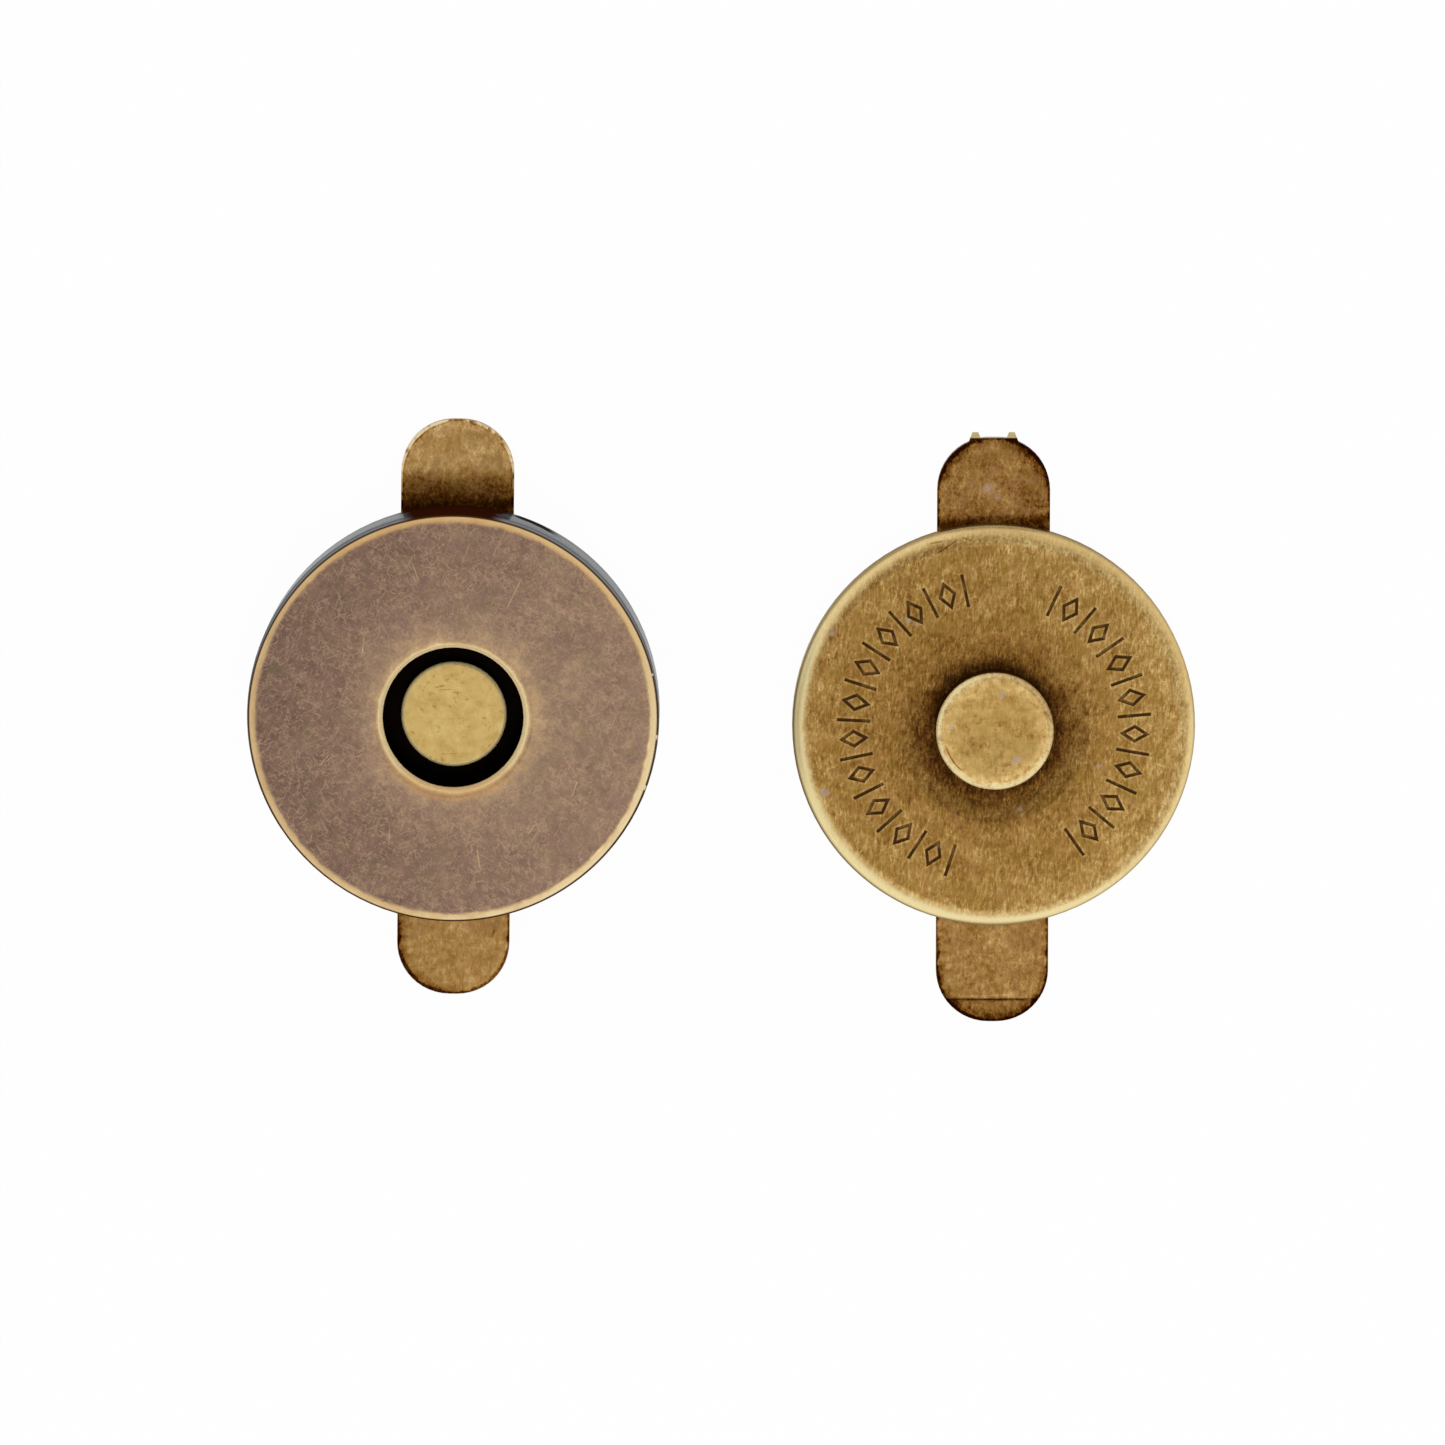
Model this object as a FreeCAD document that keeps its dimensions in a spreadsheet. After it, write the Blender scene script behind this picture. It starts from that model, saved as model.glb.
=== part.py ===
import FreeCAD, Part
import Sketcher
import os
import re
from FreeCAD import Vector

# A magnetic snap for a bag or purse, as its two halves lying side by side, face up.
# Millimetres, +Z up from the table, the two halves along X, their folded legs along Y.
# The socket half (left) is a stamped case over a ring magnet, a steel back plate and a
# pole rivet. The stud half (right) is a stamped disc with a solid stud.
# Each half is held by one folded strip whose two ends are its legs.

# Driving sizes: name, value, what it is
DRIVING_SIZES = [
    ("stud_radius", 2.58, "radius of the stud"),
    ("stud_height", 1.5, "stud above the disc's face"),
    ("stud_round", 0.28, "rounding of the stud's top edge"),
    ("stud_land", 0.6, "flat rim round the stud's dished top"),
    ("stud_dish", 0.05, "depth of the dish in the stud's top"),
    ("stud_clearance", 0.49, "gap all round between stud and hole"),
    ("face_gap", 0.05, "gap between the two faces when closed"),
    ("pole_gap", 0.1, "gap between stud and pole when closed"),
    ("disc_radius", 8.85, "outer radius of the stud half's disc"),
    ("disc_sheet", 0.6, "sheet thickness of the disc"),
    ("disc_depth", 1.7, "depth of the disc's skirt from its face"),
    ("disc_bend", 0.15, "inner radius of the disc's bend"),
    ("dimple_radius", 4.2, "outer radius of the dimple round the stud"),
    ("dimple_slope", 0.9, "width of the dimple's sloping side"),
    ("dimple_depth", 0.12, "depth of the dimple"),
    ("case_radius", 9.0, "outer radius of the socket half's case"),
    ("case_sheet", 0.35, "sheet thickness of the case"),
    ("case_bend", 0.1, "inner radius of the case's bends"),
    ("collar_depth", 1.3, "depth of the collar turned into the hole"),
    ("crimp_width", 1.35, "width of the lip crimped under the plate"),
    ("plate_height", 1.0, "thickness of the steel back plate"),
    ("plate_round", 0.15, "rounding of the plate's lower edge"),
    ("magnet_chamfer", 0.15, "chamfer of the magnet's edges"),
    ("pole_radius", 2.31, "radius of the pole seen in the hole"),
    ("pole_height", 0.95, "pole above the back plate"),
    ("pole_round", 0.15, "rounding of the pole's edge"),
    ("shank_radius", 1.3, "radius of both rivets' shanks"),
    ("tail_radius", 2.1, "radius of both rivets' tail heads"),
    ("tail_height", 0.5, "height of the stud rivet's tail head"),
    ("tail_round", 0.25, "rounding of the tail heads"),
    ("strip_thickness", 0.5, "thickness of the folded strips"),
    ("strip_width", 4.95, "width of the folded strips"),
    ("strip_bend", 0.3, "inner radius of the strips' bends"),
    ("tip_flat", 0.35, "straight part left at each leg's tip"),
    ("joggle_angle", 25, "slope of the step down to each leg, degrees"),
    ("socket_reach", 12.74, "socket half's axis to each leg's tip"),
    ("socket_turn", -0.75, "socket half's strip turned about its rivet, degrees"),
    ("stud_reach", 12.95, "half the length of the stud half's strip"),
    ("stud_shift", 0.35, "stud half's strip moved toward -Y by this"),
    ("burr_spacing", 1.6, "between the two cut-off burrs on a tip"),
    ("burr_width", 0.9, "width of a burr at its foot"),
    ("burr_crest", 0.25, "width of a burr at its top"),
    ("burr_height", 0.29, "burr beyond the rounded tip"),
    ("burr_root", 0.5, "depth of a burr's foot within the leg"),
    ("crease_inset", 0.97, "crease across a leg, from its tip"),
    ("crease_depth", 0.06, "depth of the crease"),
    ("crease_width", 0.16, "width of the crease"),
    ("mark_radius", 6.17, "radius of both arcs of stamped marks"),
    ("mark_width", 0.13, "width of a stamped line"),
    ("mark_depth", 0.1, "depth of a stamped line"),
    ("mark_pitch", 15, "angle between two ticks, degrees"),
    ("tick_length", 1.45, "length of a tick"),
    ("lozenge_length", 1.3, "outer length of the lozenges between the ticks"),
    ("lozenge_width", 0.8, "outer width of the lozenges between the ticks"),
    ("left_marks_start", 102, "first tick of the left arc, degrees"),
    ("left_ticks", 11, "ticks in the left arc"),
    ("right_marks_start", -55, "first tick of the right arc, degrees"),
    ("right_ticks", 9, "ticks in the right arc"),
    ("rivet_fit", 0.02, "gap round a shank in its hole"),
    ("collar_fit", 0.08, "gap between collar and magnet"),
    ("magnet_fit", 0.25, "gap between magnet and case wall"),
    ("plate_fit", 0.05, "gap between plate and case wall"),
    ("leg_clear", 0.1, "gap between a leg and the rim above it"),
    ("joggle_clear", 0.8, "joggle's foot to the rim's inner edge"),
    ("edge_break", 0.06, "rounding of the sheet metal's cut edges"),
    ("halves_gap", 5.82, "gap between the two halves' rims"),
    ("row_step", 0.67, "stud half lies this much further toward -Y"),
]

# Worked out from the driving sizes: name, formula, what it is
WORKED_OUT = [
    ("hole_radius", "=stud_radius + stud_clearance", "hole in the case's face"),
    ("collar_radius", "=hole_radius + case_sheet", "outside of the collar"),
    ("case_bore", "=case_radius - case_sheet", "inside of the case's wall"),
    ("crimp_radius", "=case_bore - crimp_width", "inner edge of the crimped lip"),
    ("crimp_bottom", "=strip_thickness + leg_clear", "underside of the case"),
    ("plate_bottom", "=crimp_bottom + case_sheet", "underside of the plate"),
    ("plate_top", "=plate_bottom + plate_height", "top of the plate"),
    ("pole_top", "=plate_top + pole_height", "face of the pole"),
    ("pole_drop", "=stud_height - face_gap + pole_gap", "pole's face below the case's"),
    ("case_top", "=pole_top + pole_drop", "face of the case"),
    ("magnet_top", "=case_top - case_sheet", "top of the magnet"),
    ("socket_web", "=plate_bottom - strip_thickness", "underside of the socket web"),
    ("socket_foot", "=crimp_radius - joggle_clear", "outer end of its joggle"),
    ("skirt_bottom", "=strip_thickness + leg_clear", "lower edge of the skirt"),
    ("disc_top", "=skirt_bottom + disc_depth", "face of the disc"),
    ("disc_under", "=disc_top - disc_sheet", "underside of the disc's face"),
    ("skirt_bore", "=disc_radius - disc_sheet", "inside of the disc's skirt"),
    ("dimple_floor", "=disc_top - dimple_depth", "floor of the dimple"),
    ("stud_top", "=disc_top + stud_height", "top of the stud"),
    ("stud_web", "=disc_under - strip_thickness", "underside of the stud web"),
    ("stud_foot", "=skirt_bore - joggle_clear", "outer end of its joggle"),
    ("shank_hole", "=shank_radius + rivet_fit", "hole for a rivet's shank"),
    ("socket_knee", "=socket_foot - socket_web / tan(joggle_angle)", "its inner end"),
    ("stud_knee", "=stud_foot - stud_web / tan(joggle_angle)", "its inner end"),
    ("joggle_shift", "=strip_thickness * tan(joggle_angle / 2)", "upper corners' offset"),
    ("tip_radius", "=(strip_width - tip_flat) / 2", "rounding of a leg's tip"),
    ("upper_reach", "=stud_reach - stud_shift", "stud half's axis to its +Y tip"),
    ("lower_reach", "=stud_reach + stud_shift", "stud half's axis to its -Y tip"),
    ("burr_offset", "=(burr_spacing - tip_flat) / 2", "burr from its corner's centre"),
    ("burr_foot",
     "=upper_reach - tip_radius + sqrt(tip_radius ^ 2 - burr_offset ^ 2)",
     "where the rounded tip meets a burr's middle"),
    ("lozenge_core",
     "=1 - 2 * mark_width * sqrt(lozenge_length ^ 2 + lozenge_width ^ 2)"
     " / (lozenge_length * lozenge_width)",
     "a lozenge's inner outline as a share of its outer one"),
    ("socket_x", "=-(disc_radius + halves_gap / 2)", "socket half's axis along X"),
    ("stud_x", "=case_radius + halves_gap / 2", "stud half's axis along X"),
    ("socket_y", "=(row_step + lower_reach - socket_reach) / 2",
     "socket half's axis along Y"),
    ("stud_y", "=socket_y - row_step", "stud half's axis along Y"),
]

# Two measures closer than this are the same, and a cut takes off more than this
SAME_MM = 1e-4
LEAST_CUT_MM3 = 1e-6

doc = FreeCAD.newDocument("magnetic_snap")
sizes = doc.addObject("Spreadsheet::Sheet", "Sizes")
for row, (name, value, note) in enumerate(DRIVING_SIZES + WORKED_OUT, start=1):
    sizes.set(f"A{row}", note)
    sizes.set(f"B{row}", str(value))
    sizes.setAlias(f"B{row}", name)
doc.recompute()


def bound(formula):
    """The formula with each size's name pointed at its cell of the sheet."""
    return re.sub(r"[a-z]\w*", r"Sizes.\g<0>", formula)


def size_of(formula):
    return float(sizes.evalExpression(bound(formula)))


def new_body(half, label):
    """A body on the axis of its half, which is socket or stud."""
    body = doc.addObject("PartDesign::Body", label)
    body.Label = label
    body.setExpression("Placement.Base.x", bound(half + "_x"))
    body.setExpression("Placement.Base.y", bound(half + "_y"))
    return body


def new_sketch(body, name, role):
    """A sketch on one of the body's own origin planes."""
    planes = [plane for plane in body.Origin.OriginFeatures if plane.Role == role]
    sketch = body.newObject("Sketcher::SketchObject", name)
    sketch.AttachmentSupport = [(planes[0], "")]
    sketch.MapMode = "FlatFace"
    return sketch


def set_coordinate(sketch, kind, axis, line, formula):
    """Hold the start of a line at a distance from the sketch's origin."""
    if formula == "0":
        sketch.addConstraint(Sketcher.Constraint("PointOnObject", line, 1, axis))
        return
    distance = Sketcher.Constraint(kind, -1, 1, line, 1, size_of(formula))
    index = sketch.addConstraint(distance)
    sketch.setExpression(f"Constraints[{index}]", bound(formula))


def draw_outline(sketch, corners):
    """A closed outline of straight lines, each corner given by two formulas.

    Corners in a row that share a formula are kept level or upright instead.
    """
    points = [Vector(size_of(across), size_of(up), 0) for across, up in corners]
    ends = points[1:] + points[:1]
    lines = [
        sketch.addGeometry(Part.LineSegment(start, end), False)
        for start, end in zip(points, ends)
    ]
    for line, after in zip(lines, lines[1:] + lines[:1]):
        sketch.addConstraint(Sketcher.Constraint("Coincident", line, 2, after, 1))
    previous = (None, None)
    for line, (across, up) in zip(lines, corners):
        if across == previous[0]:
            sketch.addConstraint(Sketcher.Constraint("Vertical", line - 1))
        else:
            set_coordinate(sketch, "DistanceX", -2, line, across)
        if up == previous[1]:
            sketch.addConstraint(Sketcher.Constraint("Horizontal", line - 1))
        else:
            set_coordinate(sketch, "DistanceY", -1, line, up)
        previous = (across, up)


def revolve(body, corners):
    """Turn an outline of (radius, height) corners about the half's own axis."""
    sketch = new_sketch(body, body.Label + "_profile", "XZ_Plane")
    draw_outline(sketch, corners)
    turned = body.newObject("PartDesign::Revolution", body.Label + "_turned")
    turned.Profile = sketch
    turned.ReferenceAxis = (sketch, ["V_Axis"])
    doc.recompute()


def pad_outline(body, name, role, corners, length, side="One side"):
    sketch = new_sketch(body, name + "_sketch", role)
    draw_outline(sketch, corners)
    pad = body.newObject("PartDesign::Pad", name)
    pad.Profile = sketch
    pad.SideType = side
    pad.setExpression("Length", bound(length))
    doc.recompute()


def check_cut(body, name, before):
    """A cut that points away from the solid would take nothing off."""
    if body.Shape.Volume > before - LEAST_CUT_MM3:
        raise RuntimeError(name + " cuts nothing")


def near(value, target):
    return abs(value - target) < SAME_MM


def rings_at(shape, radius, height):
    """Names of the circular edges about the axis at this radius and height."""
    wanted = (size_of(radius), size_of(height))
    names = []
    for number, edge in enumerate(shape.Edges, start=1):
        if isinstance(edge.Curve, Part.Circle):
            if near(edge.Curve.Radius, wanted[0]) and near(edge.Curve.Center.z, wanted[1]):
                names.append(f"Edge{number}")
    return names


def cross_edges_at(shape, place_y, height):
    """Names of the edges along X at this place and at its mirror image."""
    wanted = (size_of(place_y), size_of(height))
    names = []
    for number, edge in enumerate(shape.Edges, start=1):
        middle = edge.CenterOfMass
        along_x = near(edge.BoundBox.YLength, 0) and near(edge.BoundBox.ZLength, 0)
        if along_x and near(abs(middle.y), wanted[0]) and near(middle.z, wanted[1]):
            names.append(f"Edge{number}")
    return names


def tip_edges(shape, place_y):
    """Names of the two upright edges at the end of a strip."""
    wanted = size_of(place_y)
    names = []
    for number, edge in enumerate(shape.Edges, start=1):
        upright = near(edge.BoundBox.XLength, 0) and near(edge.BoundBox.YLength, 0)
        if upright and near(edge.CenterOfMass.y, wanted):
            names.append(f"Edge{number}")
    return names


def dress(body, kind, name, edges, size_property, size):
    """Round or chamfer the named edges of the body's last feature."""
    if not edges:
        raise RuntimeError(name + " found no edges")
    base = body.Tip
    feature = body.newObject("PartDesign::" + kind, name)
    feature.Base = (base, edges)
    feature.setExpression(size_property, bound(size))
    doc.recompute()


def round_rings(body, name, rings, size):
    edges = []
    for radius, height in rings:
        edges += rings_at(body.Tip.Shape, radius, height)
    dress(body, "Fillet", name, edges, "Radius", size)


def make_socket_case():
    """Stamped case: face with a turned-in collar, wall, and lip crimped under the plate."""
    body = new_body("socket", "socket_case")
    revolve(body, [
        ("hole_radius", "case_top - collar_depth"),
        ("collar_radius", "case_top - collar_depth"),
        ("collar_radius", "magnet_top"),
        ("case_bore", "magnet_top"),
        ("case_bore", "plate_bottom"),
        ("crimp_radius", "plate_bottom"),
        ("crimp_radius", "crimp_bottom"),
        ("case_radius", "crimp_bottom"),
        ("case_radius", "case_top"),
        ("hole_radius", "case_top"),
    ])
    outer = [
        ("hole_radius", "case_top"),
        ("case_radius", "case_top"),
        ("case_radius", "crimp_bottom"),
    ]
    inner = [
        ("collar_radius", "magnet_top"),
        ("case_bore", "magnet_top"),
        ("case_bore", "plate_bottom"),
    ]
    cut = [
        ("hole_radius", "case_top - collar_depth"),
        ("collar_radius", "case_top - collar_depth"),
        ("crimp_radius", "plate_bottom"),
        ("crimp_radius", "crimp_bottom"),
    ]
    round_rings(body, "case_outer_bends", outer, "case_bend + case_sheet")
    round_rings(body, "case_inner_bends", inner, "case_bend")
    round_rings(body, "case_cut_edges", cut, "edge_break")
    return body


def make_ring_magnet():
    """Ferrite ring between the face and the back plate."""
    body = new_body("socket", "ring_magnet")
    bore = "collar_radius + collar_fit"
    rim = "case_bore - magnet_fit"
    revolve(body, [
        (bore, "plate_top"),
        (rim, "plate_top"),
        (rim, "magnet_top"),
        (bore, "magnet_top"),
    ])
    edges = []
    for radius in (bore, rim):
        for height in ("plate_top", "magnet_top"):
            edges += rings_at(body.Tip.Shape, radius, height)
    dress(body, "Chamfer", "magnet_chamfers", edges, "Size", "magnet_chamfer")
    return body


def make_back_plate():
    """Steel plate that closes the magnet's path behind it."""
    body = new_body("socket", "back_plate")
    rim = "case_bore - plate_fit"
    revolve(body, [
        ("shank_hole", "plate_bottom"),
        (rim, "plate_bottom"),
        (rim, "plate_top"),
        ("shank_hole", "plate_top"),
    ])
    round_rings(body, "plate_edge", [(rim, "plate_bottom")], "plate_round")
    return body


def make_pole_rivet():
    """Steel rivet whose head is the pole in the hole; it holds plate and strip."""
    body = new_body("socket", "pole_rivet")
    revolve(body, [
        ("0", "0"),
        ("tail_radius", "0"),
        ("tail_radius", "socket_web"),
        ("shank_radius", "socket_web"),
        ("shank_radius", "plate_top"),
        ("pole_radius", "plate_top"),
        ("pole_radius", "pole_top"),
        ("0", "pole_top"),
    ])
    round_rings(body, "pole_edge", [("pole_radius", "pole_top")], "pole_round")
    round_rings(body, "pole_tail_edge", [("tail_radius", "0")], "tail_round")
    return body


def make_stud_disc():
    """Stamped disc: a skirt, and a face with a dimple and two arcs of plain marks."""
    body = new_body("stud", "stud_disc")
    revolve(body, [
        ("shank_hole", "disc_under"),
        ("skirt_bore", "disc_under"),
        ("skirt_bore", "skirt_bottom"),
        ("disc_radius", "skirt_bottom"),
        ("disc_radius", "disc_top"),
        ("dimple_radius", "disc_top"),
        ("dimple_radius - dimple_slope", "dimple_floor"),
        ("shank_hole", "dimple_floor"),
    ])
    outer = [("disc_radius", "disc_top")]
    inner = [("skirt_bore", "disc_under")]
    cut = [("disc_radius", "skirt_bottom"), ("skirt_bore", "skirt_bottom")]
    round_rings(body, "disc_outer_bend", outer, "disc_bend + disc_sheet")
    round_rings(body, "disc_inner_bend", inner, "disc_bend")
    round_rings(body, "disc_cut_edges", cut, "edge_break")
    tick = [
        ("mark_radius - tick_length / 2", "-mark_width / 2"),
        ("mark_radius + tick_length / 2", "-mark_width / 2"),
        ("mark_radius + tick_length / 2", "mark_width / 2"),
        ("mark_radius - tick_length / 2", "mark_width / 2"),
    ]
    for side in ("left", "right"):
        first = side + "_marks_start"
        count = side + "_ticks"
        stamp_arc(body, side + "_tick", [tick], first, count)
        stamp_arc(body, side + "_lozenge", [lozenge("1"), lozenge("lozenge_core")],
                  first + " + mark_pitch / 2", count + " - 1")
    return body


def lozenge(share):
    """Corners of a lozenge, at this share of its full size."""
    half_length = f"{share} * lozenge_length / 2"
    half_width = f"{share} * lozenge_width / 2"
    return [
        (f"mark_radius - {half_length}", "0"),
        ("mark_radius", f"-({half_width})"),
        (f"mark_radius + {half_length}", "0"),
        ("mark_radius", half_width),
    ]


def stamp_arc(body, name, outlines, first, count):
    """One arc of like marks pressed into the disc's face."""
    before = body.Shape.Volume
    sketch = new_sketch(body, name + "_sketch", "XY_Plane")
    sketch.setExpression("AttachmentOffset.Base.z", bound("disc_top"))
    sketch.setExpression("AttachmentOffset.Rotation.Angle", bound(first))
    for corners in outlines:
        draw_outline(sketch, corners)
    mark = body.newObject("PartDesign::Pocket", name)
    mark.Profile = sketch
    mark.setExpression("Length", bound("mark_depth"))
    doc.recompute()
    check_cut(body, name, before)
    arc = body.newObject("PartDesign::PolarPattern", name + "_arc")
    arc.Originals = [mark]
    arc.Axis = (sketch, ["N_Axis"])
    arc.setExpression("Angle", bound(f"mark_pitch * ({count} - 1)"))
    arc.setExpression("Occurrences", bound(count))
    body.Tip = arc
    doc.recompute()


def make_stud_rivet():
    """Solid stud with a dished top, riveted through the disc and the strip."""
    body = new_body("stud", "stud_rivet")
    revolve(body, [
        ("0", "stud_web - tail_height"),
        ("tail_radius", "stud_web - tail_height"),
        ("tail_radius", "stud_web"),
        ("shank_radius", "stud_web"),
        ("shank_radius", "dimple_floor"),
        ("stud_radius", "dimple_floor"),
        ("stud_radius", "stud_top"),
        ("stud_radius - stud_land", "stud_top"),
        ("0", "stud_top - stud_dish"),
    ])
    tail = [("tail_radius", "stud_web - tail_height")]
    round_rings(body, "stud_edge", [("stud_radius", "stud_top")], "stud_round")
    round_rings(body, "stud_tail_edge", tail, "tail_round")
    return body


def make_strip(half, reach_up, reach_down):
    """Folded strip: a web under the half, a joggle each side, and two flat legs.

    web is the underside of the middle part; the joggle runs from knee to foot.
    """
    label = half + "_legs"
    web = half + "_web"
    knee = half + "_knee"
    foot = half + "_foot"
    body = new_body(half, label)
    upper_knee = knee + " + joggle_shift"
    upper_foot = foot + " + joggle_shift"
    web_top = web + " + strip_thickness"
    pad_outline(body, label + "_blank", "YZ_Plane", [
        (f"-({reach_down})", "0"),
        (f"-{foot}", "0"),
        (f"-{knee}", web),
        (knee, web),
        (foot, "0"),
        (reach_up, "0"),
        (reach_up, "strip_thickness"),
        (upper_foot, "strip_thickness"),
        (upper_knee, web_top),
        (f"-({upper_knee})", web_top),
        (f"-({upper_foot})", "strip_thickness"),
        (f"-({reach_down})", "strip_thickness"),
    ], "strip_width", "Symmetric")
    outer = cross_edges_at(body.Tip.Shape, upper_knee, web_top)
    outer += cross_edges_at(body.Tip.Shape, foot, "0")
    dress(body, "Fillet", label + "_outer_bends", outer, "Radius",
          "strip_bend + strip_thickness")
    inner = cross_edges_at(body.Tip.Shape, knee, web)
    inner += cross_edges_at(body.Tip.Shape, upper_foot, "strip_thickness")
    dress(body, "Fillet", label + "_inner_bends", inner, "Radius", "strip_bend")
    tips = tip_edges(body.Tip.Shape, reach_up)
    tips += tip_edges(body.Tip.Shape, f"-({reach_down})")
    dress(body, "Fillet", label + "_tips", tips, "Radius", "tip_radius")
    cut_shank_hole(body)
    return body


def cut_shank_hole(body):
    """Round hole through the web for the rivet's shank."""
    before = body.Shape.Volume
    sketch = new_sketch(body, body.Label + "_hole_sketch", "XY_Plane")
    outline = Part.Circle(Vector(0, 0, 0), Vector(0, 0, 1), size_of("shank_hole"))
    circle = sketch.addGeometry(outline, False)
    sketch.addConstraint(Sketcher.Constraint("Coincident", circle, 3, -1, 1))
    radius = Sketcher.Constraint("Radius", circle, size_of("shank_hole"))
    index = sketch.addConstraint(radius)
    sketch.setExpression(f"Constraints[{index}]", bound("shank_hole"))
    hole = body.newObject("PartDesign::Pocket", body.Label + "_hole")
    hole.Profile = sketch
    hole.Type = "ThroughAll"
    hole.Reversed = True
    doc.recompute()
    check_cut(body, hole.Name, before)


def make_socket_legs():
    """The socket half's strip, riveted on a little askew."""
    body = make_strip("socket", "socket_reach", "socket_reach")
    body.setExpression("Placement.Rotation.Angle", bound("socket_turn"))
    return body


def make_stud_legs():
    """The stud half's strip, with cut-off burrs on one tip and a crease near the other."""
    body = make_strip("stud", "upper_reach", "lower_reach")
    for side, sign in (("left", "-"), ("right", "")):
        middle = f"{sign}burr_spacing / 2"
        pad_outline(body, side + "_burr", "XY_Plane", [
            (f"{middle} - burr_width / 2", "burr_foot - burr_root"),
            (f"{middle} + burr_width / 2", "burr_foot - burr_root"),
            (f"{middle} + burr_crest / 2", "burr_foot + burr_height"),
            (f"{middle} - burr_crest / 2", "burr_foot + burr_height"),
        ], "strip_thickness")
    cut_crease(body)
    return body


def cut_crease(body):
    """Shallow crease across the top of the -Y leg."""
    before = body.Shape.Volume
    sketch = new_sketch(body, "crease_sketch", "YZ_Plane")
    draw_outline(sketch, [
        ("-(lower_reach - crease_inset)", "strip_thickness - crease_depth"),
        ("-(lower_reach - crease_inset) + crease_width / 2", "strip_thickness"),
        ("-(lower_reach - crease_inset) - crease_width / 2", "strip_thickness"),
    ])
    crease = body.newObject("PartDesign::Pocket", "crease")
    crease.Profile = sketch
    crease.SideType = "Symmetric"
    crease.setExpression("Length", bound("strip_width"))
    doc.recompute()
    check_cut(body, crease.Name, before)


def check_document():
    """Stop if any object failed to build."""
    for item in doc.Objects:
        if "Invalid" in item.State or "Error" in item.State:
            raise RuntimeError(f"{item.Name} failed: {item.State}")


def export(body):
    if body.Shape.isNull() or not body.Shape.isValid():
        raise RuntimeError(body.Label + " has no valid shape")
    body.Shape.exportStep(f"parts/{body.Label}.step")


bodies = [
    make_socket_case(),
    make_ring_magnet(),
    make_back_plate(),
    make_pole_rivet(),
    make_socket_legs(),
    make_stud_disc(),
    make_stud_rivet(),
    make_stud_legs(),
]
doc.recompute()
check_document()

os.makedirs("parts", exist_ok=True)
for body in bodies:
    export(body)
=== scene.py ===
import bpy
import math
from mathutils import Euler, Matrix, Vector


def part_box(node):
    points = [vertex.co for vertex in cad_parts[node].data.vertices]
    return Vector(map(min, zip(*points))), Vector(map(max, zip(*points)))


# The two halves of an antique brass magnetic snap, lying face up on white.
# Millimetres in the materials, metres elsewhere.

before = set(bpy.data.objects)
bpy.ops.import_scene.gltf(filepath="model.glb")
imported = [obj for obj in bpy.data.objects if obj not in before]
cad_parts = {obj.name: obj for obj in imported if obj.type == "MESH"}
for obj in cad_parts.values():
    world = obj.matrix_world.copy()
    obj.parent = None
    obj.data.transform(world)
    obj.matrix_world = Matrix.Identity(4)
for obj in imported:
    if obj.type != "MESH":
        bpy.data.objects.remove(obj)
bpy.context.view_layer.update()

MM = 0.001


def centre_of(node):
    """Middle of a node's box, in metres."""
    low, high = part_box(node)
    return (Vector(low) + Vector(high)) / 2


def top_of(node):
    """Height of a node's top, in millimetres."""
    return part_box(node)[1][2] / MM


# Axes of the two halves, and the heights that the finishes change at
SOCKET_AXIS = centre_of("socket_case")
STUD_AXIS = centre_of("stud_disc")
CASE_TOP = top_of("socket_case")
DISC_TOP = top_of("stud_disc")
STUD_TOP = top_of("stud_rivet")
POLE_TOP = top_of("pole_rivet")

# Sizes in millimetres, as in the part's source
CASE_RADIUS = 9.0
HOLE_RADIUS = 3.07
POLE_RADIUS = 2.31
DISC_RADIUS = 8.85
STUD_RADIUS = 2.58
STRIP_WIDTH = 4.95
SOCKET_REACH = 12.74
STUD_REACH_UP = 12.60
STUD_REACH_DOWN = 13.30
CREASE_INSET = 0.97
MARK_RADIUS = 6.17
MARK_WIDTH = 0.13
TICK_LENGTH = 1.45
LOZENGE_LENGTH = 1.3
LOZENGE_WIDTH = 0.8

# Angles in degrees, as in the part's source. The socket half's strip is turned a little
# on its rivet, the pitch is from tick to tick, and each arc has a first tick and a count.
SOCKET_TURN = -0.75
MARK_PITCH = 15.0
MARK_ARCS = ((102.0, 11), (-55.0, 9))

# Camera: a long lens, tilted a little toward +Y. In metres, it stands this far from what
# it aims at and sees this wide a square there; the sensor is in millimetres.
TILT = math.radians(7.0)
DISTANCE = 0.400
FIELD = 0.06341
AIM = Vector((0.0, 0.000137, 0.002))
SENSOR = 36.0
NEAREST = 0.01
FURTHEST = 10.0


def make_camera():
    """Camera at the photograph's angle, with a field that frames both halves as it does."""
    lens = bpy.data.cameras.new("camera")
    lens.sensor_width = SENSOR
    lens.lens = SENSOR * DISTANCE / FIELD
    lens.clip_start = NEAREST
    lens.clip_end = FURTHEST
    camera = bpy.data.objects.new("camera", lens)
    bpy.context.scene.collection.objects.link(camera)
    camera.location = AIM + Vector((0.0, math.sin(TILT), math.cos(TILT))) * DISTANCE
    camera.rotation_euler = (-TILT, 0.0, 0.0)
    bpy.context.scene.camera = camera


make_camera()


def srgb(red, green, blue):
    """A colour given as 0 to 255 on the screen, as the shader needs it."""
    linear = []
    for value in (red, green, blue):
        share = value / 255
        if share <= 0.04045:
            linear.append(share / 12.92)
        else:
            linear.append(((share + 0.055) / 1.055) ** 2.4)
    return (*linear, 1.0)


# Places of a colour Mix node's sockets, which their names don't tell apart
MIX_SHARE = 0
MIX_FIRST = 6
MIX_SECOND = 7
MIX_RESULT = 2

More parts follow.
